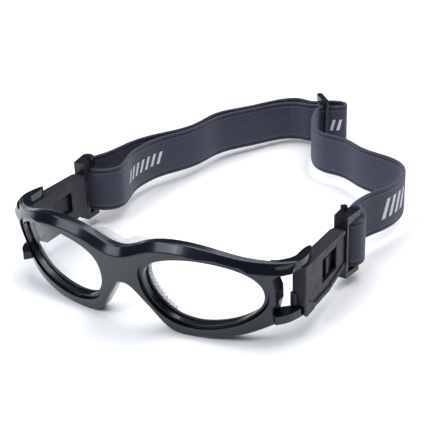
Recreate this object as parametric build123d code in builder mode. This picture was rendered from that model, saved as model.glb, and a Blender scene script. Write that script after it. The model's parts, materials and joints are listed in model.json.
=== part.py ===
from build123d import *
import math
import os

# Sports protective goggles, millimetres. +X is the wearer's left, the lenses face -Y, +Z is up.
# Overall sizes
STRAP_WIDTH = 23.0
STRAP_THICK = 1.5
FRAME_FRONT = -3.5      # front of the raised rim, measured along Y from the lens face
FRAME_STEP = -2.3       # level of the sunk band around each opening
FRAME_BACK = 4.0        # back of the frame, measured along Y from the lens face
LENS_THICK = 2.0
BROW_BEVEL = 3.6        # the slope along the top of the brow
SINK_WIDE = 2.0         # width of the sunk band
GASKET_GROW = 0.35      # the soft ring stands this far outside the opening
LENS_LEAN = 0.25        # the top of the front leans forward by this much per mm of height
LENS_LEVEL = 23.5       # height at which the face curve below holds
# Hinge, side clip, ring
HINGE_X = 70.35
HINGE_Y = 35.0
HINGE_Z = 10.6          # height of the strap's lower edge at the hinge
SIDE_SLOPE = 2.4        # degrees that clips and strap slope down towards the back
PIN_R = 1.0
PIN_INSET = 1.0         # the pin stops this far inside each lug
CLIP_IN = 67.2
CLIP_OUT = 73.5
CLIP_LENGTH = 39.5
POST_X = 73.0
POST_Y = 50.0
POST_R = 1.4
# Slider
SLIDER_X = -0.5
SLIDER_Y = 182.0
SLIDER_TURN = -50.0     # degrees from +X
BAR_PITCH = 7.2
GASKET_THICK = 0.9
LUG_R = 2.1             # round end of each hinge lug
WALL_IN = 72.7          # inside of the clip's outer wall where it covers the lower lug
LOW_LUG = 0.4           # heights below are above the strap's lower edge
HIGH_LUG = 23.5
LUG_THICK = 3.8
NUB_LOW = 5.0
NUB_HIGH = 10.5
PANEL_DEEP = 0.7
CAVITY_IN = 68.7
CAVITY_OUT = 72.0
CAVITY_LOW = 5.0
CAVITY_HIGH = 19.4
TAB_LOW = 8.0
TAB_HIGH = 16.0
RING_LOW = -3.2
RING_HIGH = 27.4
SLIDER_LOW = -2.6
SLIDER_HIGH = 26.4
PAD_THICK = 4.5
BEADS = 15
BEAD_R = 0.95
# The origin is under the middle of the whole part
SHIFT = Vector(1.37, -113.80, 0)

SIDE = Plane(
    origin=(0, HINGE_Y, HINGE_Z),
    x_dir=(1, 0, 0),
    z_dir=(0, math.sin(math.radians(SIDE_SLOPE)), math.cos(math.radians(SIDE_SLOPE))),
)


def face_y(x):
    """Y of the lens face at height LENS_LEVEL: a wrap curve, flatter in the middle."""
    s = x / 42.8
    return 9.3 + 1.71 * s**2 + 2.25 * s**4


TOP = [(0, 41.8), (7, 43.6), (14, 47.1), (21, 49.4), (29, 50.2), (37, 49.5), (45, 47.2), (54, 43.6), (63, 40.4), (71, 38.4)]
BOTTOM = [(71, 11.8), (63, 8.6), (54, 4.7), (44, 1.7), (34, 0.0), (25, -0.6), (19.5, 0.6), (15.5, 4.0),
          (11.6, 10), (7.6, 15.8), (3.6, 21.2), (0, 22.9)]
OPENING = [(11.3, 27.5), (15.0, 36.6), (24, 41.4), (35, 43.4), (46, 42.2), (55, 37.8), (60.4, 30.2),
           (60.1, 20.8), (53.3, 13.6), (42, 8.8), (30, 7.0), (19.2, 10.0), (13.3, 17.4)]
WINDOW = [(64.4, 33.0), (66.5, 34.9), (80, 34.9), (80, 14.2), (63.0, 14.2), (64.6, 20.0), (65.2, 27.0)]


# Front views of the curved front, right half as the picture of the frame faces the reader: (x, z)
PAD_OUTER = [(0, 43.6), (5, 45.8), (10, 48.0), (14.0, 46.4), (13.6, 41.0), (10.6, 35.5), (8.9, 30.0), (8.9, 24.5), (10.4, 18.5),
             (13.0, 12.4), (16.8, 7.2), (18.8, 4.2)]
PAD_INNER = [(18.8, 4.2), (15.0, 5.6), (11.2, 10.6), (8.0, 16.2), (4.8, 21.6), (0, 24.6)]
# Side views of the clip: (distance behind the hinge, height above the strap's lower edge)
CLIP_SIDE = [(-3.2, 4.6), (3.8, 4.6), (3.8, 1.4), (5.4, -0.7), (22, -0.8), (39.5, 3.0), (39.5, 21.4), (37.5, 22.0), (-3.2, 23.2)]
CLIP_CHEEK = [(-3.2, 5), (-3.2, 0.6), (-1.8, -0.75), (6, -0.75), (6, 5)]
CLIP_PANEL = [(-1.2, 21.2), (45, 19.6), (45, 6.5), (39.5, 5.6), (22.4, 1.9), (6.4, 1.9), (-1.2, 6.6)]
WINDOW_OUT = [(15.4, 6.2), (30.5, 6.6), (30.5, 17.8), (15.4, 17.6)]
WINDOW_IN = [(12.4, 6.8), (27.0, 7.0), (27.0, 17.4), (12.4, 17.4)]
# Plans of the strap's middle line: (x, y)
STRAP_RUN = [
    (69.9, 99.3), (72.2, 95.2), (75.2, 91.4), (76.7, 87.2), (75.7, 82.6), (72.2, 80.2), (68.9, 81.9), (67.4, 87), (66.9, 95),
    (67.4, 104), (69.6, 112.5), (72.6, 119.5), (75, 127.5), (75.9, 137), (74.3, 146.5), (69, 154), (61, 158.3), (52, 160.8),
    (44.5, 164), (38, 168.3), (32, 171.6), (26, 173), (19.5, 174), (13.5, 177.5), (8, 184.5), (3.8, 193), (1.2, 201),
    (-0.2, 207), (0.0, 211), (2.5, 213.4), (6.2, 215.2), (10, 217.2), (12, 220.3), (10.8, 223.8), (6.8, 225.2), (2.2, 224.3),
    (-0.8, 222.5), (-3.5, 220.6), (-6.4, 218.9), (-9.8, 218.6), (-13.5, 219.4), (-18.5, 219.2), (-24, 215.4), (-29.4, 208.6),
    (-35.2, 199.4), (-41.6, 190.2), (-47.4, 181.5), (-50.3, 172), (-51.6, 160), (-55.2, 149), (-60.5, 140), (-65.6, 131),
    (-69.8, 119.5), (-71.8, 108), (-74.5, 98), (-77.6, 92), (-79.4, 87.2), (-78.6, 82.9), (-75.6, 80.6), (-71.5, 79.9),
    (-67, 80.3), (-62.4, 82), (-58.6, 85.4), (-56.9, 90.4), (-58.4, 98), (-61.3, 108), (-61.7, 118), (-60, 129), (-56, 138.5),
    (-50.6, 149), (-47.8, 160), (-46.2, 171), (-42.8, 180), (-37.4, 188.2), (-30.4, 198.2), (-24.6, 206.4), (-19, 211.6),
    (-13, 213.4), (-7.5, 213.4), (-3.0, 215.0),
]
STRAP_END = [(-14.6, 213.3), (-11, 213.5), (-7.5, 213.4), (-3.0, 215.0)]


def grown(points, amount):
    """The points of a closed curve moved outward, square to the curve."""
    moved = []
    for i, (x, z) in enumerate(points):
        before = points[i - 1]
        after = points[(i + 1) % len(points)]
        dx = after[0] - before[0]
        dz = after[1] - before[1]
        size = math.hypot(dx, dz)
        moved.append((x - amount * dz / size, z + amount * dx / size))
    return moved


def band_sketch(front, back):
    """Plan of the band between two offsets of the face curve, drawn level with the frame's foot."""
    foot = -12.0
    xs = [10 * (i - 8) for i in range(17)]
    low = [(x, face_y(x) + front) for x in xs]
    high = [(x, face_y(x) + back) for x in reversed(xs)]
    with BuildSketch(Plane((0, -LENS_LEAN * (foot - LENS_LEVEL), foot))) as band:
        with BuildLine():
            Spline(*low)
            Line(low[-1], high[0])
            Spline(*high)
            Line(high[-1], low[0])
        make_face()
    return band.sketch


def extrude_band(front, back):
    extrude(band_sketch(front, back), amount=80, dir=(0, -LENS_LEAN, 1))


def rim_sketch(grow):
    """Front view of the frame, less its openings grown by the given amount."""
    with BuildSketch(Plane.XZ) as rim:
        with BuildLine():
            Spline(*TOP, tangents=[(1, 0), (1, -0.2)])
            Line(TOP[-1], BOTTOM[0])
            Spline(*BOTTOM, tangents=[(-1, -0.35), (-1, 0)])
            mirror(about=Plane.YZ)
        make_face()
        for side in (1, -1):
            with BuildLine():
                Spline(*[(side * x, z) for x, z in grown(OPENING, grow)], periodic=True)
            make_face(mode=Mode.SUBTRACT)
            with BuildLine():
                Polyline(*[(side * x, z) for x, z in WINDOW], close=True)
            make_face(mode=Mode.SUBTRACT)
    return rim.sketch


def lens_sketch(grow):
    """Front view of the right-hand opening grown by the given amount."""
    with BuildSketch(Plane.XZ) as lens:
        with BuildLine():
            Spline(*grown(OPENING, grow), periodic=True)
        make_face()
    return lens.sketch


def lug_sketch(height, tongue):
    """Plan of one hinge lug, from the end of the arm to a round end about the pin."""
    with BuildSketch(SIDE.offset(height)) as lug:
        with BuildLine():
            Line((60.5, -9.5), (65.5, -15.2))
            Spline((65.5, -15.2), (69.4, -10.8), (71.3, -6.2), (HINGE_X + LUG_R, 0), tangents=[(0.7, 0.7), (0, 1)])
            Line((HINGE_X + LUG_R, 0), (HINGE_X - LUG_R, 0))
            Spline((HINGE_X - LUG_R, 0), (67.0, -4.2), (64.2, -7.6), (60.5, -9.5), tangents=[(0, -1), (-1, -0.2)])
        make_face()
        with Locations((HINGE_X, 0)):
            Circle(LUG_R)
        if tongue:
            with BuildLine():
                Line((HINGE_X - LUG_R, 0), (HINGE_X + LUG_R, 0))
                Spline((HINGE_X + LUG_R, 0), (71.7, 5.2), (69.9, 9.4), tangents=[(0, 1), (-0.6, 0.5)])
                Spline((69.9, 9.4), (68.4, 5.4), (HINGE_X - LUG_R, 0), tangents=[(-0.6, -0.6), (0, -1)])
            make_face()
    return lug.sketch


def on_front(edge):
    """True if the edge lies on the front face of the frame."""
    spots = (edge @ 0.1, edge @ 0.5, edge @ 0.9)
    return all(abs(p.Y - face_y(p.X) - FRAME_FRONT + LENS_LEAN * (p.Z - LENS_LEVEL)) < 0.3 for p in spots)


def save(builder, label):
    solid = builder.part.moved(Location(SHIFT))
    solid.label = label
    export_step(solid, "parts/" + label + ".step")


os.makedirs("parts", exist_ok=True)

# Front frame: a leaning, wrapped rim with a sunk band round each opening and a groove for the lens
with BuildPart() as sink:
    extrude_band(FRAME_FRONT - 4, FRAME_STEP)
    extrude(lens_sketch(SINK_WIDE), amount=100, both=True, mode=Mode.INTERSECT)
    mirror(about=Plane.YZ)

with BuildPart() as groove:
    extrude_band(-0.1, FRAME_BACK + 1)
    extrude(lens_sketch(1.3), amount=100, both=True, mode=Mode.INTERSECT)
    mirror(about=Plane.YZ)

with BuildPart() as lugs:
    extrude(lug_sketch(LOW_LUG, False), amount=LUG_THICK)
    extrude(lug_sketch(HIGH_LUG, True), amount=LUG_THICK)
    mirror(about=Plane.YZ)

with BuildPart() as front_frame:
    extrude_band(FRAME_FRONT, FRAME_BACK)
    extrude(rim_sketch(0), amount=100, both=True, mode=Mode.INTERSECT)
    chamfer(front_frame.edges().filter_by(lambda e: on_front(e) and (e @ 0.5).Z > 38), BROW_BEVEL)
    long_edges = front_frame.edges().filter_by(lambda e: e.length > 145)
    fillet(long_edges.filter_by(lambda e: (e @ 0.5).Z > 30 and abs(e.center().X) < 5), 0.9)
    long_edges = front_frame.edges().filter_by(lambda e: e.length > 150 and e.center().Z < 30)
    fillet(long_edges.sort_by(Axis.Y)[:1], 2.0)
    fillet(long_edges.sort_by(Axis.Y)[-1:], 1.3)
    add(sink.part, mode=Mode.SUBTRACT)
    add(groove.part, mode=Mode.SUBTRACT)
    add(lugs.part)
    with BuildSketch(SIDE.offset(LOW_LUG + PIN_INSET)) as pin_holes:
        with Locations((HINGE_X, 0), (-HINGE_X, 0)):
            Circle(PIN_R)
    extrude(amount=HIGH_LUG + LUG_THICK - LOW_LUG - 2 * PIN_INSET, mode=Mode.SUBTRACT)
    # a small flat under each rim to stand on
    split(bisect_by=Plane.XY, keep=Keep.TOP)

# Lenses and the soft ring that holds each one in its groove
with BuildPart() as lens_left:
    extrude_band(0, LENS_THICK)
    extrude(lens_sketch(1.2), amount=100, both=True, mode=Mode.INTERSECT)

with BuildPart() as lens_right:
    mirror(lens_left.part, about=Plane.YZ)

with BuildPart() as lens_gasket_left:
    extrude_band(LENS_THICK, LENS_THICK + GASKET_THICK)
    extrude(lens_sketch(1.2), amount=100, both=True, mode=Mode.INTERSECT)
    extrude(lens_sketch(GASKET_GROW), amount=100, both=True, mode=Mode.SUBTRACT)

with BuildPart() as lens_gasket_right:
    mirror(lens_gasket_left.part, about=Plane.YZ)

# Nose pad: a soft saddle behind the bridge, with a beaded edge on each wing
with BuildSketch(Plane.XZ) as pad_sketch:
    with BuildLine():
        Spline(*PAD_OUTER, tangents=[(1, 0), (0.5, -1)])
        Spline(*PAD_INNER, tangents=[(-1, -0.1), (-1, 0)])
        mirror(about=Plane.YZ)
    make_face()
    with BuildLine(mode=Mode.PRIVATE) as bead_line:
        Spline(*PAD_OUTER[4:], tangents=[(-0.4, -1), (0.5, -1)])
    steps = [bead_line.edges()[0] @ ((i + 0.5) / BEADS) for i in range(BEADS)]
    with Locations(*[(p.X, p.Y) for p in steps], *[(-p.X, p.Y) for p in steps]):
        Circle(BEAD_R)

with BuildPart() as nose_pad:
    extrude_band(FRAME_BACK + 0.05, FRAME_BACK + PAD_THICK)
    extrude(pad_sketch.sketch, amount=100, both=True, mode=Mode.INTERSECT)

# Hinge pins
with BuildPart() as hinge_pin_left:
    with BuildSketch(SIDE.offset(LOW_LUG + PIN_INSET)):
        with Locations((HINGE_X, 0)):
            Circle(PIN_R)
    extrude(amount=HIGH_LUG + LUG_THICK - LOW_LUG - 2 * PIN_INSET)

with BuildPart() as hinge_pin_right:
    mirror(hinge_pin_left.part, about=Plane.YZ)

# Side clip: a flat hollow block with a barrel at the hinge and a window through both walls
SIDE_VIEW = Plane(origin=SIDE.origin, x_dir=SIDE.y_dir, z_dir=(1, 0, 0))

with BuildPart() as clip_left:
    with BuildSketch(SIDE_VIEW.offset(CLIP_IN)) as block_side:
        with BuildLine():
            Polyline(*CLIP_SIDE, close=True)
        make_face()
    extrude(amount=CLIP_OUT - CLIP_IN)
    fillet(clip_left.edges().filter_by(lambda e: e.length < 30 and abs((e % 0.5).X) < 0.1 and e.length > 2), 0.7)
    with BuildSketch(SIDE_VIEW.offset(WALL_IN)) as cheek:
        with BuildLine():
            Polyline(*CLIP_CHEEK, close=True)
        make_face()
    extrude(amount=CLIP_OUT - WALL_IN)
    with BuildSketch(SIDE.offset(NUB_LOW)) as nub:
        with Locations((CLIP_IN + 1.0, -3.2)):
            Circle(1.6)
    extrude(amount=NUB_HIGH - NUB_LOW)
    with BuildSketch(SIDE.offset(-5)) as pin_hole:
        with Locations((HINGE_X, 0)):
            Circle(PIN_R + 0.05)
    extrude(amount=40, mode=Mode.SUBTRACT)
    with BuildSketch(SIDE_VIEW.offset(CLIP_OUT - PANEL_DEEP)) as panel:
        with BuildLine():
            Polyline(*CLIP_PANEL, close=True)
        make_face()
    extrude(amount=5, mode=Mode.SUBTRACT)
    with BuildSketch(SIDE_VIEW.offset(CAVITY_IN)) as cavity:
        with BuildLine():
            Polyline((8, CAVITY_LOW), (50, CAVITY_LOW), (50, CAVITY_HIGH), (8, CAVITY_HIGH), close=True)
        make_face()
    extrude(amount=CAVITY_OUT - CAVITY_IN, mode=Mode.SUBTRACT)
    with BuildSketch(SIDE_VIEW.offset(CAVITY_OUT - 1)) as outer_window:
        with BuildLine():
            Polyline(*WINDOW_OUT, close=True)
        make_face()
    extrude(amount=6, mode=Mode.SUBTRACT)
    with BuildSketch(SIDE_VIEW.offset(CLIP_IN - 2)) as inner_window:
        with BuildLine():
            Polyline(*WINDOW_IN, close=True)
        make_face()
    extrude(amount=4, mode=Mode.SUBTRACT)

with BuildPart() as clip_right:
    mirror(clip_left.part, about=Plane.YZ)

# Strap ring: a tongue that sits in the clip, a shoulder, and two arms that carry the strap post
with BuildPart() as strap_ring_left:
    with BuildSketch(SIDE_VIEW.offset(CAVITY_IN + 0.15)) as tongue:
        with BuildLine():
            Polyline((8.6, CAVITY_LOW + 0.3), (CLIP_LENGTH + 1, CAVITY_LOW + 0.3),
                     (CLIP_LENGTH + 1, CAVITY_HIGH - 0.3), (8.6, CAVITY_HIGH - 0.3), close=True)
        make_face()
    extrude(amount=CAVITY_OUT - CAVITY_IN - 0.3)
    with BuildSketch(SIDE_VIEW.offset(CAVITY_IN - 1)) as tab_room:
        with BuildLine():
            Polyline((12, TAB_LOW - 0.8), (32, TAB_LOW - 0.8), (32, TAB_HIGH + 0.8), (12, TAB_HIGH + 0.8), close=True)
        make_face()
    extrude(amount=8, mode=Mode.SUBTRACT)
    with BuildSketch(SIDE.offset(RING_LOW)) as shoulder:
        with BuildLine():
            Polyline((67.4, CLIP_LENGTH + 0.3), (73.9, CLIP_LENGTH + 0.3), (73.9, 41.8), (67.4, 41.8), close=True)
        make_face()
    extrude(amount=RING_HIGH - RING_LOW)
    for low, high in ((RING_LOW, -0.6), (STRAP_WIDTH + 0.6, RING_HIGH)):
        with BuildSketch(SIDE.offset(low)) as arm:
            with BuildLine():
                Polyline((67.4, CLIP_LENGTH + 0.3), (73.9, CLIP_LENGTH + 0.3), (75.6, 50), (67.4, 49), close=True)
            make_face()
            with Locations((POST_X, POST_Y)):
                Circle(2.6)
            with Locations((68.9, 48.6)):
                Circle(1.5)
        extrude(amount=high - low)
    with BuildSketch(SIDE.offset(RING_HIGH)) as knob:
        with Locations((68.9, 47.2)):
            Circle(1.6)
    extrude(amount=1.7)
    with BuildSketch(SIDE.offset(RING_LOW)) as post_hole:
        with Locations((POST_X, POST_Y)):
            Circle(POST_R)
    extrude(amount=RING_HIGH - RING_LOW, mode=Mode.SUBTRACT)

with BuildPart() as strap_ring_right:
    mirror(strap_ring_left.part, about=Plane.YZ)

with BuildPart() as strap_post_left:
    with BuildSketch(SIDE.offset(RING_LOW)):
        with Locations((POST_X, POST_Y)):
            Circle(POST_R)
    extrude(amount=RING_HIGH - RING_LOW + 0.4)

with BuildPart() as strap_post_right:
    mirror(strap_post_left.part, about=Plane.YZ)

# Release tab: a springy tongue whose raised catch fills part of the outer window
with BuildPart() as release_tab_left:
    with BuildSketch(SIDE_VIEW.offset(CAVITY_IN + 0.4)) as tab:
        with BuildLine():
            Polyline((13.2, TAB_LOW), (31.6, TAB_LOW), (31.6, TAB_HIGH), (13.2, TAB_HIGH), close=True)
        make_face()
    extrude(amount=1.4)
    with BuildSketch(SIDE_VIEW.offset(CAVITY_IN + 1.8)) as catch:
        with BuildLine():
            Polyline((21.0, TAB_LOW), (23.4, TAB_LOW), (23.4, TAB_HIGH), (21.0, TAB_HIGH), close=True)
        make_face()
    extrude(amount=1.6)

with BuildPart() as release_tab_right:
    mirror(release_tab_left.part, about=Plane.YZ)


def ribbon_sketch(points, thick, samples):
    """Plan of a strap of the given thickness along a smooth line through the points."""
    with BuildLine(mode=Mode.PRIVATE) as middle:
        Spline(*[(x, y - HINGE_Y) for x, y in points])
    edge = middle.edges()[0]
    near, far = [], []
    for i in range(samples + 1):
        p = edge @ (i / samples)
        d = edge % (i / samples)
        near.append((p.X - d.Y * thick / 2, p.Y + d.X * thick / 2))
        far.append((p.X + d.Y * thick / 2, p.Y - d.X * thick / 2))
    far.reverse()
    with BuildSketch(SIDE) as ribbon:
        with BuildLine():
            Spline(*near)
            Line(near[-1], far[0])
            Spline(*far)
            Line(far[-1], near[0])
        make_face()
    return ribbon.sketch


# Strap: one band from its sewn tail on the wearer's left ring, through the slider, round the other
# ring and back to the slider's middle bar
with BuildPart() as strap:
    extrude(ribbon_sketch(STRAP_RUN, STRAP_THICK, 150), amount=STRAP_WIDTH)
    extrude(ribbon_sketch(STRAP_END, 2.4, 12), amount=STRAP_WIDTH)
    with BuildSketch(SIDE) as bar_loop:
        with Locations((SLIDER_X, SLIDER_Y)):
            Circle(3.4)
            Circle(1.95, mode=Mode.SUBTRACT)
    extrude(amount=STRAP_WIDTH)

# Slider: two rails joined by three bars
with BuildPart() as strap_slider:
    for low, high in ((SLIDER_LOW, -0.4), (STRAP_WIDTH + 0.4, SLIDER_HIGH)):
        with BuildSketch(SIDE.offset(low)) as rail:
            with Locations(Location((SLIDER_X, SLIDER_Y), SLIDER_TURN)):
                SlotOverall(2 * BAR_PITCH + 2.6, 3.4)
        extrude(amount=high - low)
    with BuildSketch(SIDE.offset(SLIDER_LOW)) as bars:
        with Locations(Location((SLIDER_X, SLIDER_Y), SLIDER_TURN)):
            with GridLocations(BAR_PITCH, 1, 3, 1):
                RectangleRounded(2.2, 2.4, 0.7)
    extrude(amount=SLIDER_HIGH - SLIDER_LOW)

PARTS = {
    "front_frame": front_frame,
    "lens_left": lens_left,
    "lens_right": lens_right,
    "lens_gasket_left": lens_gasket_left,
    "lens_gasket_right": lens_gasket_right,
    "nose_pad": nose_pad,
    "hinge_pin_left": hinge_pin_left,
    "hinge_pin_right": hinge_pin_right,
    "clip_left": clip_left,
    "clip_right": clip_right,
    "strap_ring_left": strap_ring_left,
    "strap_ring_right": strap_ring_right,
    "strap_post_left": strap_post_left,
    "strap_post_right": strap_post_right,
    "release_tab_left": release_tab_left,
    "release_tab_right": release_tab_right,
    "strap": strap,
    "strap_slider": strap_slider,
}
for label, builder in PARTS.items():
    save(builder, label)
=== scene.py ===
"""Sports protective goggles: materials, strap, nose pad and stage around the CAD frame."""

import json
import math

import bpy
import numpy as np
from mathutils import Matrix, Vector

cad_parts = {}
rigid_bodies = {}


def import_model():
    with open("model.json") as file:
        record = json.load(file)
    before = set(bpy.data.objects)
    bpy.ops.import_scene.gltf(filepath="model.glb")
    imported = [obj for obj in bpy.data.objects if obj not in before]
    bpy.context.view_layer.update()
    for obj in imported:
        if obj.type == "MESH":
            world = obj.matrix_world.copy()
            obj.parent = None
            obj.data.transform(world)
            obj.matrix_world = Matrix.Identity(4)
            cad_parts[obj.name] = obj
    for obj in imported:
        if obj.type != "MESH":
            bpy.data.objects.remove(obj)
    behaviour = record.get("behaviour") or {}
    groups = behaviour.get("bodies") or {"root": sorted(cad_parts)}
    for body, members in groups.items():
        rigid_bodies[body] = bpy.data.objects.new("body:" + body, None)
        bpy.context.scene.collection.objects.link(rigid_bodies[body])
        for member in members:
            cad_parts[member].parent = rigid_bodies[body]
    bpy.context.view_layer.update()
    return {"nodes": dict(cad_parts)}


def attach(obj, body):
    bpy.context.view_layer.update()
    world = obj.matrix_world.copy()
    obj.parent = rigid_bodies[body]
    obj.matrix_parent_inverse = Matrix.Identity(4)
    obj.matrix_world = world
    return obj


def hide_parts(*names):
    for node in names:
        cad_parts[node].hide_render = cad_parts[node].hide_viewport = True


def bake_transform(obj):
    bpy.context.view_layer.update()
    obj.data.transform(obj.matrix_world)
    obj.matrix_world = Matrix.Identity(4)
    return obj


for old in list(bpy.data.objects):
    bpy.data.objects.remove(old)

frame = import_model()
NODES = frame["nodes"]

# All lengths are in millimetres in the part's own plan, whose origin is not the frame's.
# SHIFT moves (x, y) of the plan to the middle of the whole part.
SHIFT = (1.37, -113.80)
MM = 1000
# The clips and strap lie in a plane that falls towards the back, from the hinge's lower end
SLOPE = math.radians(2.4)
HINGE_Y = 35.0
HINGE_Z = 10.6
STRAP_WIDTH = 23.0
STRAP_THICK = 1.5
SLIDER_AT = (-0.5, 217.0)
FRAME_BACK = 4.0
LENS_LEAN = 0.25
LENS_LEVEL = 23.5


def place(x, y, z):
    """A point in the part's own plan, in millimetres, as a vector in the shared frame, in metres."""
    return Vector(((x + SHIFT[0]) / MM, (y + SHIFT[1]) / MM, z / MM))


def side_point(x, y, height):
    """A point on the sloping side plane: y in plan, height above the strap's lower edge."""
    along = y - HINGE_Y
    return place(
        x,
        HINGE_Y + along * math.cos(SLOPE) + height * math.sin(SLOPE),
        HINGE_Z - along * math.sin(SLOPE) + height * math.cos(SLOPE),
    )


def face_y(x):
    """How far back the middle of the wrapped front lies at a given x."""
    s = x / 42.8
    return 9.3 + 1.71 * s**2 + 2.25 * s**4


# ---------------------------------------------------------------- materials


class Shader:
    """A small helper for writing node trees."""

    def __init__(self, name):
        self.material = bpy.data.materials.new(name)
        self.material.use_nodes = True
        self.tree = self.material.node_tree
        self.tree.nodes.clear()
        self.out = self.tree.nodes.new("ShaderNodeOutputMaterial")

    def node(self, kind, inputs=None, **settings):
        made = self.tree.nodes.new(kind)
        for key, value in settings.items():
            setattr(made, key, value)
        for key, value in (inputs or {}).items():
            if isinstance(value, bpy.types.NodeSocket):
                self.tree.links.new(value, made.inputs[key])
            else:
                made.inputs[key].default_value = value
        return made

    def math(self, operation, a, b=0.0, c=0.0):
        return self.node("ShaderNodeMath", {0: a, 1: b, 2: c}, operation=operation).outputs[0]

    def mix(self, factor, a, b):
        made = self.node("ShaderNodeMix", data_type="RGBA")
        for index, value in ((0, factor), (6, a), (7, b)):
            if isinstance(value, bpy.types.NodeSocket):
                self.tree.links.new(value, made.inputs[index])
            else:
                made.inputs[index].default_value = value
        return made.outputs[2]

    def ramp(self, factor, *stops):
        made = self.node("ShaderNodeValToRGB", {0: factor})
        while len(made.color_ramp.elements) < len(stops):
            made.color_ramp.elements.new(0.5)
        for element, (position, colour) in zip(made.color_ramp.elements, stops):
            element.position = position
            element.color = colour
        return made.outputs[0]

    def noise(self, scale, detail=3.0, rough=0.55, vector=None):
        made = self.node("ShaderNodeTexNoise", {"Scale": scale, "Detail": detail, "Roughness": rough})
        self.tree.links.new(vector or self.place(), made.inputs["Vector"])
        return made.outputs[0]

    def cells(self, scale):
        return self.node("ShaderNodeTexVoronoi", {"Vector": self.place(), "Scale": scale}).outputs[0]

    def place(self):
        return self.node("ShaderNodeTexCoord").outputs["Object"]

    def stretched(self, vector, scale):
        return self.node("ShaderNodeMapping", {"Vector": vector, "Scale": scale}).outputs[0]

    def bump(self, height, strength, distance, normal=None):
        inputs = {"Height": height, "Strength": strength, "Distance": distance}
        if normal is not None:
            inputs["Normal"] = normal
        return self.node("ShaderNodeBump", inputs).outputs[0]

    def finish(self, shader):
        self.tree.links.new(shader, self.out.inputs[0])
        return self.material


def grey(v):
    return (v, v, v, 1)


def gloss_black():
    """Polished black plastic: a hard clear skin, faint swirl marks, dust-fine speckle."""
    s = Shader("gloss_black")
    cloud = s.noise(60, 4)
    colour = s.ramp(cloud, (0.3, (0.0022, 0.0027, 0.0048, 1)), (0.75, (0.0042, 0.0050, 0.0085, 1)))
    rough = s.math("MULTIPLY_ADD", s.noise(420, 3), 0.10, 0.15)
    skin = s.bump(s.noise(170, 2), 0.05, 0.0004)
    skin = s.bump(s.noise(2600, 2), 0.04, 0.00005, skin)
    p = s.node("ShaderNodeBsdfPrincipled", {
        "Base Color": colour, "Roughness": rough, "Normal": skin,
        "IOR": 1.5, "Specular Tint": (0.80, 0.88, 1.0, 1),
        "Coat Weight": 0.12, "Coat Roughness": 0.04,
    })
    return s.finish(p.outputs[0])


def grained(name, dark, light, rough_low, rough_high, grain, depth, worn):
    """Moulded plastic with a spark-eroded grain, paler in patches where hands rub it."""
    s = Shader(name)
    colour = s.mix(s.noise(90, 4), dark, light)
    rubbed = s.ramp(s.noise(33, 5), (0.52, grey(0)), (0.8, grey(1)))
    paler = tuple(1.8 * c for c in light[:3]) + (1,)
    colour = s.mix(s.math("MULTIPLY", rubbed, worn), colour, paler)
    rough = s.ramp(s.noise(240, 3), (0.3, grey(rough_low)), (0.7, grey(rough_high)))
    normal = s.bump(s.cells(grain), 0.55, depth)
    normal = s.bump(s.noise(grain * 2.3, 2), 0.25, depth * 0.6, normal)
    p = s.node("ShaderNodeBsdfPrincipled", {
        "Base Color": colour, "Roughness": rough, "Normal": normal,
        "IOR": 1.49, "Specular Tint": (0.82, 0.88, 1.0, 1),
    })
    return s.finish(p.outputs[0])


def clear_lens():
    """Clear polycarbonate sheet: see-through, with a hard-coat reflection and a breath of haze."""
    s = Shader("clear_lens")
    haze = s.ramp(s.noise(30, 4), (0.35, (0.972, 0.978, 0.985, 1)), (0.75, (0.988, 0.991, 0.995, 1)))
    through = s.node("ShaderNodeBsdfTransparent", {"Color": haze})
    shine_rough = s.ramp(s.noise(300, 3), (0.4, grey(0.02)), (0.8, grey(0.06)))
    shine = s.node("ShaderNodeBsdfGlossy", {"Color": (0.95, 0.97, 1.0, 1), "Roughness": shine_rough})
    facing = s.node("ShaderNodeLayerWeight", {"Blend": 0.5})
    share = s.ramp(
        facing.outputs["Facing"],
        (0.0, grey(0.025)), (0.55, grey(0.04)), (0.85, grey(0.16)), (1.0, grey(0.7)),
    )
    mixed = s.node("ShaderNodeMixShader", {0: share, 1: through.outputs[0], 2: shine.outputs[0]})
    return s.finish(mixed.outputs[0])


def clear_silicone(name, milky, faced, edged):
    """Soft clear silicone, bloomed on the skin: how milky it is, seen face on (faced) and edge on (edged)."""
    s = Shader(name)
    dull = tuple(milky * c for c in (0.72, 0.735, 0.76)) + (1,)
    bright = tuple(milky * c for c in (0.86, 0.87, 0.89)) + (1,)
    milk = s.ramp(s.noise(70, 4), (0.3, dull), (0.75, bright))
    rough = s.ramp(s.noise(260, 3), (0.35, grey(0.12)), (0.75, grey(0.30)))
    normal = s.bump(s.noise(900, 2), 0.12, 0.0001)
    p = s.node("ShaderNodeBsdfPrincipled", {
        "Base Color": milk, "Roughness": rough, "Normal": normal, "IOR": 1.41,
        "Coat Weight": 0.3, "Coat Roughness": 0.1,
    })
    clear = s.node("ShaderNodeBsdfTransparent", {"Color": (0.955, 0.96, 0.97, 1)})
    facing = s.node("ShaderNodeLayerWeight", {"Blend": 0.35})
    share = s.ramp(facing.outputs["Facing"], (0.05, grey(faced)), (0.75, grey(edged)))
    mixed = s.node("ShaderNodeMixShader", {0: share, 1: clear.outputs[0], 2: p.outputs[0]})
    return s.finish(mixed.outputs[0])


def soft_rubber():
    """Matt black rubber with a fine moulded grain."""
    s = Shader("soft_rubber")
    colour = s.mix(s.noise(140, 4), (0.010, 0.010, 0.012, 1), (0.022, 0.022, 0.026, 1))
    rough = s.ramp(s.noise(400, 3), (0.3, grey(0.55)), (0.7, grey(0.75)))
    normal = s.bump(s.noise(1500, 3), 0.3, 0.0001)
    p = s.node("ShaderNodeBsdfPrincipled", {
        "Base Color": colour, "Roughness": rough, "Normal": normal, "IOR": 1.45,
    })
    return s.finish(p.outputs[0])


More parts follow.
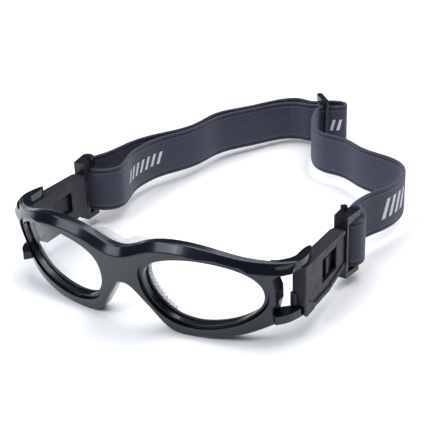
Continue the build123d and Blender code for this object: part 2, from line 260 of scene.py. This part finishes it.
def turned_steel():
    """Bright steel with turning marks round the pin."""
    s = Shader("turned_steel")
    rings = s.noise(1.0, 2, vector=s.stretched(s.place(), (400, 400, 6000)))
    colour = s.mix(rings, (0.36, 0.37, 0.39, 1), (0.58, 0.59, 0.61, 1))
    rough = s.ramp(rings, (0.3, grey(0.22)), (0.7, grey(0.4)))
    normal = s.bump(rings, 0.2, 0.00005)
    p = s.node("ShaderNodeBsdfPrincipled", {
        "Base Color": colour, "Roughness": rough, "Normal": normal, "Metallic": 1.0,
    })
    return s.finish(p.outputs[0])


WARP_CORDS = 20
WEFTS_PER_WIDTH = 46


def webbing():
    """Ribbed elastic: warp cords along the strap, fine weft across it, heathered yarn, woven edge lines."""
    s = Shader("elastic_webbing")
    uv = s.node("ShaderNodeUVMap", uv_map="UVMap").outputs[0]
    parts = s.node("ShaderNodeSeparateXYZ", {0: uv})
    across, along = parts.outputs[0], parts.outputs[1]
    # across runs 0 to 1 over the width, along is in strap widths
    cords = s.math("SINE", s.math("MULTIPLY", across, 2 * math.pi * WARP_CORDS))
    weft = s.math("SINE", s.math("MULTIPLY", along, 2 * math.pi * WEFTS_PER_WIDTH))
    slub = s.noise(1.0, 3, vector=s.stretched(uv, (24, 70, 1)))
    yarn = s.noise(1.0, 2, vector=s.stretched(uv, (150, 60, 1)))
    tone = s.ramp(
        s.math("ADD", s.math("MULTIPLY", slub, 0.55), s.math("MULTIPLY", yarn, 0.45)),
        (0.36, (0.020, 0.020, 0.037, 1)), (0.50, (0.044, 0.044, 0.076, 1)), (0.66, (0.104, 0.104, 0.162, 1)),
    )
    between_wefts = s.math("MULTIPLY", s.math("MULTIPLY_ADD", weft, 0.5, 0.5), 0.35)
    tone = s.mix(between_wefts, tone, (0.017, 0.017, 0.028, 1))
    # two lines woven along each edge, placed by their distance from the strap's middle
    edge = s.math("ABSOLUTE", s.math("SUBTRACT", across, 0.5))
    navy = s.ramp(edge, (0.395, grey(0)), (0.405, grey(1)), (0.452, grey(1)), (0.460, grey(0)))
    teal = s.ramp(edge, (0.356, grey(0)), (0.364, grey(1)), (0.392, grey(1)), (0.400, grey(0)))
    tone = s.mix(s.math("MULTIPLY", navy, 0.85), tone, (0.010, 0.011, 0.022, 1))
    tone = s.mix(s.math("MULTIPLY", teal, 0.45), tone, (0.080, 0.100, 0.125, 1))
    height = s.math("ADD", s.math("MULTIPLY", cords, 0.5), s.math("MULTIPLY", weft, 0.5))
    height = s.math("ADD", height, s.math("MULTIPLY", yarn, 0.8))
    normal = s.bump(height, 0.55, 0.00016)
    rough = s.ramp(slub, (0.3, grey(0.62)), (0.7, grey(0.85)))
    p = s.node("ShaderNodeBsdfPrincipled", {
        "Base Color": tone, "Roughness": rough, "Normal": normal, "IOR": 1.45,
        "Sheen Weight": 0.35, "Sheen Roughness": 0.4, "Sheen Tint": (0.75, 0.76, 0.9, 1),
    })
    return s.finish(p.outputs[0])


def print_ink():
    """Pale ink, broken up a little by the weave below it."""
    s = Shader("print_ink")
    colour = s.mix(s.noise(900, 3), (0.50, 0.52, 0.56, 1), (0.76, 0.78, 0.80, 1))
    normal = s.bump(s.noise(2500, 2), 0.4, 0.0001)
    p = s.node("ShaderNodeBsdfPrincipled", {"Base Color": colour, "Roughness": 0.6, "Normal": normal})
    return s.finish(p.outputs[0])


def sewing_thread():
    """Dark twisted thread."""
    s = Shader("sewing_thread")
    wave = s.node("ShaderNodeTexWave", {"Vector": s.place(), "Scale": 900.0, "Distortion": 1.0})
    twist = wave.outputs[1]
    colour = s.mix(twist, (0.016, 0.016, 0.026, 1), (0.055, 0.054, 0.075, 1))
    normal = s.bump(twist, 0.5, 0.0001)
    p = s.node("ShaderNodeBsdfPrincipled", {
        "Base Color": colour, "Roughness": 0.6, "Normal": normal, "Sheen Weight": 0.3,
    })
    return s.finish(p.outputs[0])


GLOSS = gloss_black()
LENS = clear_lens()
SILICONE = clear_silicone("clear_silicone", milky=1.0, faced=0.10, edged=0.50)
BEADS = clear_silicone("bead_silicone", milky=0.80, faced=0.35, edged=0.85)
RUBBER = soft_rubber()
STEEL = turned_steel()
CLIP = grained("clip_plastic", (0.0075, 0.0078, 0.0095, 1), (0.016, 0.0165, 0.020, 1),
               rough_low=0.42, rough_high=0.6, grain=1500, depth=0.00012, worn=0.25)
RING = grained("ring_plastic", (0.0045, 0.0047, 0.006, 1), (0.010, 0.0105, 0.0125, 1),
               rough_low=0.2, rough_high=0.34, grain=1900, depth=0.00005, worn=0.2)
TAB = grained("tab_plastic", (0.003, 0.003, 0.004, 1), (0.008, 0.008, 0.010, 1),
              rough_low=0.45, rough_high=0.62, grain=1500, depth=0.0001, worn=0.2)
WEBBING = webbing()
INK = print_ink()
THREAD = sewing_thread()

NODE_MATERIALS = {
    "front_frame": GLOSS, "lens_left": LENS, "lens_right": LENS,
    "lens_gasket_left": RUBBER, "lens_gasket_right": RUBBER,
    "hinge_pin_left": STEEL, "hinge_pin_right": STEEL,
    "clip_left": CLIP, "clip_right": CLIP,
    "strap_ring_left": RING, "strap_ring_right": RING,
    "strap_post_left": RING, "strap_post_right": RING,
    "release_tab_left": TAB, "release_tab_right": TAB, "strap_slider": RING,
}
EDGE_SOFTENING = 0.00022

for name, material in NODE_MATERIALS.items():
    node = NODES[name]
    node.data.materials.clear()
    node.data.materials.append(material)
    if material in (CLIP, RING, TAB):
        soften = node.modifiers.new("edge", "BEVEL")
        soften.width = EDGE_SOFTENING
        soften.segments = 2
        soften.limit_method = "ANGLE"
        soften.angle_limit = math.radians(40)
        soften.harden_normals = True


# ---------------------------------------------------------------- meshes


def mesh_object(name, verts, faces, material, uvs=None):
    """A smooth-shaded object, linked to the scene, with the given corners, faces and material."""
    mesh = bpy.data.meshes.new(name)
    mesh.from_pydata([tuple(v) for v in verts], [], faces)
    if uvs is not None:
        layer = mesh.uv_layers.new(name="UVMap")
        for loop in mesh.loops:
            layer.data[loop.index].uv = uvs[loop.vertex_index]
    mesh.polygons.foreach_set("use_smooth", [True] * len(mesh.polygons))
    mesh.materials.append(material)
    mesh.update()
    made = bpy.data.objects.new(name, mesh)
    bpy.context.scene.collection.objects.link(made)
    return made


def band(base, rows, ring):
    """Quads between successive rings of corners, the first of them at index base."""
    quads = []
    for row in range(rows - 1):
        for j in range(ring):
            a, b = base + row * ring + j, base + row * ring + (j + 1) % ring
            quads.append((a, b, b + ring, a + ring))
    return quads


def caps(base, rows, ring):
    """One face over each end of a band."""
    last = base + (rows - 1) * ring
    return [tuple(base + b for b in range(ring - 1, -1, -1)), tuple(last + b for b in range(ring))]


def spline(points, samples):
    """Evenly spaced points on a natural cubic through the given points, spaced by the root of their chords."""
    p = np.array(points, float)
    t = np.concatenate([[0], np.cumsum(np.linalg.norm(np.diff(p, axis=0), axis=1) ** 0.5)])
    n = len(p)
    h = np.diff(t)
    a = np.eye(n)
    b = np.zeros_like(p)
    for i in range(1, n - 1):
        a[i, i - 1: i + 2] = h[i - 1], 2 * (h[i - 1] + h[i]), h[i]
        b[i] = 6 * ((p[i + 1] - p[i]) / h[i] - (p[i] - p[i - 1]) / h[i - 1])
    m = np.linalg.solve(a, b)

    def at(s):
        i = np.clip(np.searchsorted(t, s) - 1, 0, n - 2)
        u, v = (t[i + 1] - s)[:, None], (s - t[i])[:, None]
        k = h[i][:, None]
        curved = (m[i] * u**3 + m[i + 1] * v**3) / (6 * k)
        return curved + (p[i] / k - m[i] * k / 6) * u + (p[i + 1] / k - m[i + 1] * k / 6) * v

    fine = at(np.linspace(0, t[-1], samples * 8))
    length = np.concatenate([[0], np.cumsum(np.linalg.norm(np.diff(fine, axis=0), axis=1))])
    even = np.linspace(0, length[-1], samples)
    return np.stack([np.interp(even, length, fine[:, k]) for k in range(2)], 1), length[-1]


# The strap's centreline seen from above: from the wearer's left ring round the back, through the
# slider and its slack loop, round the right ring and back to its sewn end at the slider
STRAP_RUN = [
    (69.9, 99.3), (72.2, 95.2), (75.2, 91.4), (76.7, 87.2), (75.7, 82.6),
    (72.2, 80.2), (68.9, 81.9), (67.4, 87), (66.9, 95),
    (67.4, 104), (69.6, 112.5), (72.6, 119.5), (75, 127.5), (75.9, 137),
    (74.3, 146.5), (69, 154), (61, 158.3), (52, 160.8),
    (44.5, 164), (38, 168.3), (32, 171.6), (26, 173), (19.5, 174),
    (13.5, 177.5), (8, 184.5), (3.8, 193), (1.2, 201),
    (-0.2, 207), (0.0, 211), (2.5, 213.4), (6.2, 215.2), (10, 217.2),
    (12, 220.3), (10.8, 223.8), (6.8, 225.2), (2.2, 224.3),
    (-0.8, 222.5), (-3.5, 220.6), (-6.4, 218.9), (-9.8, 218.6),
    (-13.5, 219.4), (-18.5, 219.2), (-24, 215.4), (-29.4, 208.6),
    (-35.2, 199.4), (-41.6, 190.2), (-47.4, 181.5), (-50.3, 172),
    (-51.6, 160), (-55.2, 149), (-60.5, 140), (-65.6, 131),
    (-69.8, 119.5), (-71.8, 108), (-74.5, 98), (-77.6, 92),
    (-79.4, 87.2), (-78.6, 82.9), (-75.6, 80.6), (-71.5, 79.9),
    (-67, 80.3), (-62.4, 82), (-58.6, 85.4), (-56.9, 90.4), (-58.4, 98),
    (-61.3, 108), (-61.7, 118), (-60, 129), (-56, 138.5),
    (-50.6, 149), (-47.8, 160), (-46.2, 171), (-42.8, 180),
    (-37.4, 188.2), (-30.4, 198.2), (-24.6, 206.4), (-19, 211.6),
    (-13, 213.4), (-7.5, 213.4), (-3.0, 215.0),
]
RUN_SAMPLES = 1400
RUN, RUN_LENGTH = spline(STRAP_RUN, RUN_SAMPLES)
SPACING = RUN_LENGTH / (RUN_SAMPLES - 1)


def index_near(x, y, low=0, high=RUN_SAMPLES):
    """The sample of the run nearest to a point, between two samples where the strap passes twice."""
    part = RUN[low:high]
    return low + int(np.argmin(np.hypot(part[:, 0] - x, part[:, 1] - y)))


def normals_of(path):
    """The unit normal at each point of a path."""
    d = np.gradient(path, axis=0)
    d /= np.linalg.norm(d, axis=1)[:, None]
    return np.stack([-d[:, 1], d[:, 0]], 1)


RUN_NORMALS = normals_of(RUN)
RIBS = 20
RIB_STEPS = 4
RIB_HEIGHT = 0.045
HALF_BODY = 0.44
EDGE_RADIUS = 0.8


def section():
    """The strap's cross-section as (height 0 to 1, side offset in thicknesses), once round."""
    count = RIBS * RIB_STEPS
    rows = []
    for sign in (1, -1):
        for i in range(count + 1):
            k = i / count if sign > 0 else 1 - i / count
            edge = min(k, 1 - k) * STRAP_WIDTH
            body = min(1.0, math.sqrt(max(0.0, 1 - (1 - min(edge, EDGE_RADIUS) / EDGE_RADIUS) ** 2)))
            rib = RIB_HEIGHT * math.cos(2 * math.pi * RIBS * k) * min(1.0, edge / 1.2)
            rows.append((k, sign * (HALF_BODY * max(body, 0.12) + rib)))
    return rows


SECTION = section()


def strap_mesh(name, first, last):
    """One length of the strap between two samples of its run, and that length in millimetres."""
    verts, uvs = [], []
    n = len(SECTION)
    picks = list(range(first, last, 2)) + [last]
    for i in picks:
        x, y = RUN[i]
        nx, ny = RUN_NORMALS[i]
        sway = 0.12 * math.sin(i * 0.021) + 0.08 * math.sin(i * 0.053)
        for k, off in SECTION:
            o = off * STRAP_THICK
            verts.append(side_point(x + nx * o, y + ny * o, k * STRAP_WIDTH + sway))
            uvs.append((k, i * SPACING / STRAP_WIDTH))
    rows = len(picks)
    faces = band(0, rows, n)
    for row, flip in ((0, False), (rows - 1, True)):
        loop = [row * n + j for j in range(n)]
        for j in range(n // 2 - 1):
            quad = (loop[j], loop[j + 1], loop[n - 2 - j], loop[n - 1 - j])
            faces.append(quad if flip else quad[::-1])
    made = mesh_object(name, verts, faces, WEBBING, uvs)
    return made, (last - first) * SPACING


# Where one length of the strap ends and the next begins
INNER_LAYER = index_near(-46.2, 171)
LOOP_START = index_near(1.2, 201)
LOOP_END = index_near(-4.5, 220.0)
TAIL_END = index_near(-24, 215.4, 0, INNER_LAYER)
SEWN_START = index_near(-19, 211.6, INNER_LAYER)

strap_left, LEFT_LENGTH = strap_mesh("strap_left_run", 0, LOOP_START)
strap_loop, LOOP_LENGTH = strap_mesh("strap_slack_loop", LOOP_START, LOOP_END)
strap_tail, TAIL_LENGTH = strap_mesh("strap_loop_tail", LOOP_END, TAIL_END)
strap_right, RIGHT_LENGTH = strap_mesh("strap_right_run", TAIL_END, SEWN_START)
strap_end, END_LENGTH = strap_mesh("strap_sewn_end", SEWN_START, RUN_SAMPLES - 1)

WRAP_RADIUS = 2.7
WRAP_SQUEEZE = 0.94
WRAP_STEPS = 72


def bar_loop():
    """The strap's end wrapped once round the slider's middle bar."""
    verts, uvs, faces = [], [], []
    n = len(SECTION)
    for i in range(WRAP_STEPS):
        a = 2 * math.pi * i / WRAP_STEPS
        for k, off in SECTION:
            r = WRAP_RADIUS + off * STRAP_THICK * WRAP_SQUEEZE
            x, y = SLIDER_AT[0] + r * math.cos(a), SLIDER_AT[1] + r * math.sin(a)
            verts.append(side_point(x, y, k * STRAP_WIDTH))
            uvs.append((k, WRAP_RADIUS * a / STRAP_WIDTH))
    for row in range(WRAP_STEPS):
        for j in range(n):
            a, b = row * n + j, row * n + (j + 1) % n
            c = (row + 1) % WRAP_STEPS * n
            faces.append((a, b, c + (j + 1) % n, c + j))
    return mesh_object("strap_bar_wrap", verts, faces, WEBBING, uvs)


bar_wrap = bar_loop()


RIB_TOP = 0.485  # the highest point of a rib, in thicknesses from the strap's middle
PRINT_LIFT = 0.03
PRINT_THICK = 0.05


def printed(name, first, marks):
    """Printed marks on the strap: each is four corners, along the strap in mm and up it from 0 to 1."""
    verts, faces = [], []
    cuts_s, cuts_k = 14, 8
    row = cuts_k + 1
    size = (cuts_s + 1) * row
    for corners in marks:
        (s0, k0), (s1, k1), (s2, k2), (s3, k3) = corners
        base = len(verts)
        for layer in (0, 1):
            for i in range(cuts_s + 1):
                for j in range(cuts_k + 1):
                    a, b = i / cuts_s, j / cuts_k
                    s = (s0 * (1 - a) + s1 * a) * (1 - b) + (s3 * (1 - a) + s2 * a) * b
                    k = (k0 * (1 - a) + k1 * a) * (1 - b) + (k3 * (1 - a) + k2 * a) * b
                    f = first + s / SPACING
                    q = int(f)
                    w = f - q
                    xy = RUN[q] * (1 - w) + RUN[q + 1] * w
                    nn = RUN_NORMALS[q]
                    o = -(RIB_TOP * STRAP_THICK + PRINT_LIFT + PRINT_THICK * (layer - 0.5))
                    verts.append(side_point(xy[0] + nn[0] * o, xy[1] + nn[1] * o, k * STRAP_WIDTH))
        for layer in (0, 1):
            for i in range(cuts_s):
                for j in range(cuts_k):
                    a = base + layer * size + i * row + j
                    quad = (a, a + 1, a + row + 1, a + row)
                    faces.append(quad if layer else quad[::-1])
        rim = [i * row for i in range(cuts_s + 1)] + [cuts_s * row + j for j in range(1, row)]
        rim += [i * row + cuts_k for i in range(cuts_s - 1, -1, -1)] + list(range(cuts_k - 1, 0, -1))
        for a, b in zip(rim, rim[1:] + rim[:1]):
            faces.append((base + a, base + b, base + size + b, base + size + a))
    return mesh_object(name, verts, faces, INK)


def bars(start, count, wide, gap, lean, low, high):
    """Corners of a row of plain leaning bars: a generic print with no lettering in it."""
    made = []
    for i in range(count):
        a = start + i * (wide + gap)
        made.append(((a, low), (a + wide, low), (a + wide + lean, high), (a + lean, high)))
    return made


# plain printed bars: on the inner layer beside the wearer's right ring, on the left run, and by the slider
BESIDE_RIGHT_RING = index_near(-58.4, 98, index_near(-71.5, 79.9))
print_right = printed("strap_print_right", BESIDE_RIGHT_RING, bars(2, 7, 2.0, 2.8, 3.0, 0.36, 0.64))
print_left = printed("strap_print_left", index_near(75, 127.5, 0, 500), bars(-8, 4, 2.6, 2.6, 3.6, 0.28, 0.72))
BY_SLIDER = index_near(6.2, 215.2, 300, 900)
print_loop = printed("strap_print_loop", BY_SLIDER, bars(-1, 2, 1.6, 2.0, 1.6, 0.36, 0.64))

SEAM_ROWS = (0.0, 2.4)
STITCHES = 15
THREAD_RINGS, THREAD_SPOKES = 7, 6


def stitches(name, first, side):
    """Two lines of lock-stitch across the strap: a low oval thread for each stitch."""
    verts, faces = [], []
    for s in SEAM_ROWS:
        q = first + int(s / SPACING)
        x, y = RUN[q]
        nx, ny = RUN_NORMALS[q]
        tangent = np.array((ny, -nx))
        for i in range(STITCHES):
            mid = (i + 0.5) / STITCHES
            reach = 0.36 / STITCHES
            base = len(verts)
            for a in range(THREAD_RINGS):
                k = mid + reach * (a / 3 - 1)
                sink = 0.34 * abs(a / 3 - 1) ** 3
                for b in range(THREAD_SPOKES):
                    angle = 2 * math.pi * b / THREAD_SPOKES
                    o = side * (0.5 * STRAP_THICK - 0.02 - sink + 0.17 * math.sin(angle))
                    t = 0.19 * math.cos(angle) * (1 - 0.5 * abs(a / 3 - 1) ** 2)
                    spot = (x + nx * o + tangent[0] * t, y + ny * o + tangent[1] * t)
                    verts.append(side_point(spot[0], spot[1], k * STRAP_WIDTH))
            faces += band(base, THREAD_RINGS, THREAD_SPOKES) + caps(base, THREAD_RINGS, THREAD_SPOKES)
    return mesh_object(name, verts, faces, THREAD)


seam_left = stitches("seam_ring_left", index_near(67.4, 104, 0, 300), -1)
seam_right = stitches("seam_ring_right", index_near(-71.8, 108), 1)

# each length of the strap, listed with two bodies and two points where a bend between them would go; no bend is
# applied, and the loop below only bakes each length's transform
bends = {
    strap_left: ("side_left", "front", side_point(70, 86, 12), side_point(75, 150, 12)),
    strap_right: ("side_right", "front", side_point(-75, 92, 12), side_point(-60, 170, 12)),
    strap_loop: ("front", "slider", side_point(1, 200, 12), side_point(2, 214, 12)),
    strap_tail: ("front", "slider", side_point(-23, 219, 12), side_point(-5, 219, 12)),
    strap_end: ("front", "slider", side_point(-19, 213, 12), side_point(-6, 213, 12)),
}

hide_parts("strap")
for piece, (a, b, start, end) in bends.items():
    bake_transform(piece)
hosts = {
    seam_left: strap_left, print_left: strap_left,
    seam_right: strap_right, print_right: strap_right, print_loop: strap_loop,
}
for piece, host in hosts.items():
    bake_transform(piece)
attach(bar_wrap, "slider")

# ---------------------------------------------------------------- nose pad

# Half of the pad's outline seen from the front, as (x, z): its outer edge, and its inner edge over the nose
PAD_OUTER = [
    (0, 43.6), (5, 45.8), (10, 48.0), (14.0, 46.4), (13.6, 41.0), (10.6, 35.5),
    (8.9, 30.0), (8.9, 24.5), (10.4, 18.5), (13.0, 12.4), (16.8, 7.2), (18.8, 4.4),
]
PAD_INNER = [
    (0, 24.6), (2.6, 23.4), (4.8, 21.6), (6.4, 19.0), (8.0, 16.2), (9.6, 13.4),
    (11.2, 10.6), (13.0, 8.0), (15.0, 5.9), (16.2, 5.0), (17.2, 4.5), (18.2, 4.2),
]


def pad_point(x, z, depth):
    """A point behind the frame: x and z as in the front view, depth behind the frame's back face."""
    return place(x, face_y(x) - LENS_LEAN * (z - LENS_LEVEL) + FRAME_BACK + depth, z)


PAD_STEPS = 49
PAD_CUTS = 12


def nose_pad():
    """The clear saddle behind the bridge: full across its middle, with a raised lip near its outer edge."""
    outer, _ = spline(PAD_OUTER, PAD_STEPS)
    inner, _ = spline(PAD_INNER, PAD_STEPS)
    outer = np.concatenate([outer[::-1] * (-1, 1), outer[1:]])
    inner = np.concatenate([inner[::-1] * (-1, 1), inner[1:]])
    verts = []
    ring = 2 * PAD_CUTS
    for (xo, zo), (xi, zi) in zip(outer, inner):
        for j in range(ring):
            t = j / PAD_CUTS if j <= PAD_CUTS else 2 - j / PAD_CUTS
            bulge = math.sqrt(max(0.0, 1 - abs(2 * t - 1) ** 3.2))
            x, z = xi + (xo - xi) * t, zi + (zo - zi) * t
            lip = 0.75 * math.exp(-((t - 0.9) / 0.09) ** 2)
            front_side, back_side = 0.2 - 0.25 * bulge, 0.3 + 2.6 * bulge * (0.65 + 0.35 * t) + lip
            verts.append(pad_point(x, z, 0.35 + (front_side if j <= PAD_CUTS else back_side)))
    rows = len(outer)
    faces = [(a, d, c, b) for a, b, c, d in band(0, rows, ring)]
    faces += [cap[::-1] for cap in caps(0, rows, ring)]
    made = mesh_object("nose_pad_silicone", verts, faces, SILICONE)
    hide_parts("nose_pad")
    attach(made, "front")


BEAD_LINE_STEPS = 61
BEAD_EVERY = 4
BEAD_RINGS, BEAD_SPOKES = 5, 10
BEAD_RADIUS = 0.00098
BEAD_HALF_DEPTH = 0.0017


def pad_beads():
    """The row of small round beads along the outer edge of each wing."""
    line, _ = spline(PAD_OUTER[5:11], BEAD_LINE_STEPS)
    verts, faces = [], []
    for side in (1, -1):
        for x, z in line[::BEAD_EVERY]:
            centre = pad_point(side * (x + 0.1), z, 2.1)
            base = len(verts)
            for a in range(1, BEAD_RINGS + 1):
                phi = math.pi * a / (BEAD_RINGS + 1)
                reach = BEAD_RADIUS * math.sin(phi)
                for b in range(BEAD_SPOKES):
                    theta = 2 * math.pi * b / BEAD_SPOKES
                    offset = (reach * math.cos(theta), BEAD_HALF_DEPTH * math.cos(phi), reach * math.sin(theta))
                    verts.append(centre + Vector(offset))
            faces += band(base, BEAD_RINGS, BEAD_SPOKES) + caps(base, BEAD_RINGS, BEAD_SPOKES)
    made = mesh_object("nose_pad_beads", verts, faces, BEADS)
    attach(made, "front")


nose_pad()
pad_beads()

# ---------------------------------------------------------------- stage

# The photo's camera: its place and turn, and its focal length and width in pixels
CAMERA_AT = place(228.7, -301.3, 254.2)
AZIMUTH, ELEVATION, ROLL = math.radians(30.5), math.radians(27.8), math.radians(-3.25)
FOCAL_PIXELS, PHOTO_PIXELS = 1046, 430
SENSOR = 36

back = Vector((
    math.sin(AZIMUTH) * math.cos(ELEVATION), -math.cos(AZIMUTH) * math.cos(ELEVATION), math.sin(ELEVATION),
))
right = Vector((math.cos(AZIMUTH), math.sin(AZIMUTH), 0))
up = back.cross(right)
x_axis = right * math.cos(ROLL) + up * math.sin(ROLL)
y_axis = up * math.cos(ROLL) - right * math.sin(ROLL)
camera_data = bpy.data.cameras.new("camera")
camera_data.sensor_width = SENSOR
camera_data.lens = SENSOR * FOCAL_PIXELS / PHOTO_PIXELS
camera_data.clip_start = 0.01
camera = bpy.data.objects.new("camera", camera_data)
bpy.context.scene.collection.objects.link(camera)
turn = Matrix((x_axis, y_axis, back)).transposed().to_4x4()
camera.matrix_world = Matrix.Translation(CAMERA_AT) @ turn
bpy.context.scene.camera = camera


def area_light(name, at, target, size, power, colour):
    """A softbox of the given width and height, in metres, turned to a target."""
    data = bpy.data.lights.new(name, "AREA")
    data.shape = "RECTANGLE"
    data.size, data.size_y = size
    data.energy = power
    data.color = colour
    made = bpy.data.objects.new(name, data)
    bpy.context.scene.collection.objects.link(made)
    facing = (Vector(target) - Vector(at)).to_track_quat("-Z", "Y")
    made.matrix_world = Matrix.Translation(Vector(at)) @ facing.to_matrix().to_4x4()


area_light("key", (0.22, 0.30, 1.40), (0.0, 0.0, 0.0), (1.5, 1.5), 23.0, (1.0, 0.99, 0.98))
area_light("ridge_strip", (-0.50, -0.60, 0.85), (0, -0.08, 0.03), (0.9, 0.22), 3.5, (0.86, 0.93, 1.0))
area_light("front_fill", (-0.55, -1.05, 1.05), (0, -0.02, 0.02), (1.0, 1.0), 9.5, (0.95, 0.975, 1.0))

# The studio: dim and bluish round the sides, pale overhead
SIDES, OVERHEAD = (0.09, 0.11, 0.16, 1), (0.93, 0.96, 1.0, 1)
world = bpy.data.worlds.new("studio")
world.use_nodes = True
sky = world.node_tree
direction = sky.nodes.new("ShaderNodeTexCoord").outputs["Generated"]
height = sky.nodes.new("ShaderNodeSeparateXYZ")
sky.links.new(direction, height.inputs[0])
dome = sky.nodes.new("ShaderNodeValToRGB")
sky.links.new(height.outputs[2], dome.inputs[0])
for element, position, colour in zip(dome.color_ramp.elements, (0.50, 0.92), (SIDES, OVERHEAD)):
    element.position = position
    element.color = colour
sky.links.new(dome.outputs[0], sky.nodes["Background"].inputs[0])
sky.nodes["Background"].inputs[1].default_value = 0.68
bpy.context.scene.world = world
bpy.context.scene.view_settings.view_transform = "Standard"


FLOOR = 8  # metres from the middle to each edge


def floor_material():
    """Plain pale paper."""
    s = Shader("pale_floor")
    colour = s.mix(s.noise(3, 2), (0.90, 0.905, 0.915, 1), (0.92, 0.922, 0.93, 1))
    p = s.node("ShaderNodeBsdfPrincipled", {
        "Base Color": colour, "Roughness": 0.55, "Specular IOR Level": 0.25,
    })
    return s.finish(p.outputs[0])


plane = bpy.data.meshes.new("floor")
corners = [(-FLOOR, -FLOOR, 0), (FLOOR, -FLOOR, 0), (FLOOR, FLOOR, 0), (-FLOOR, FLOOR, 0)]
plane.from_pydata(corners, [], [(0, 1, 2, 3)])
plane.materials.append(floor_material())
floor = bpy.data.objects.new("floor", plane)
bpy.context.scene.collection.objects.link(floor)
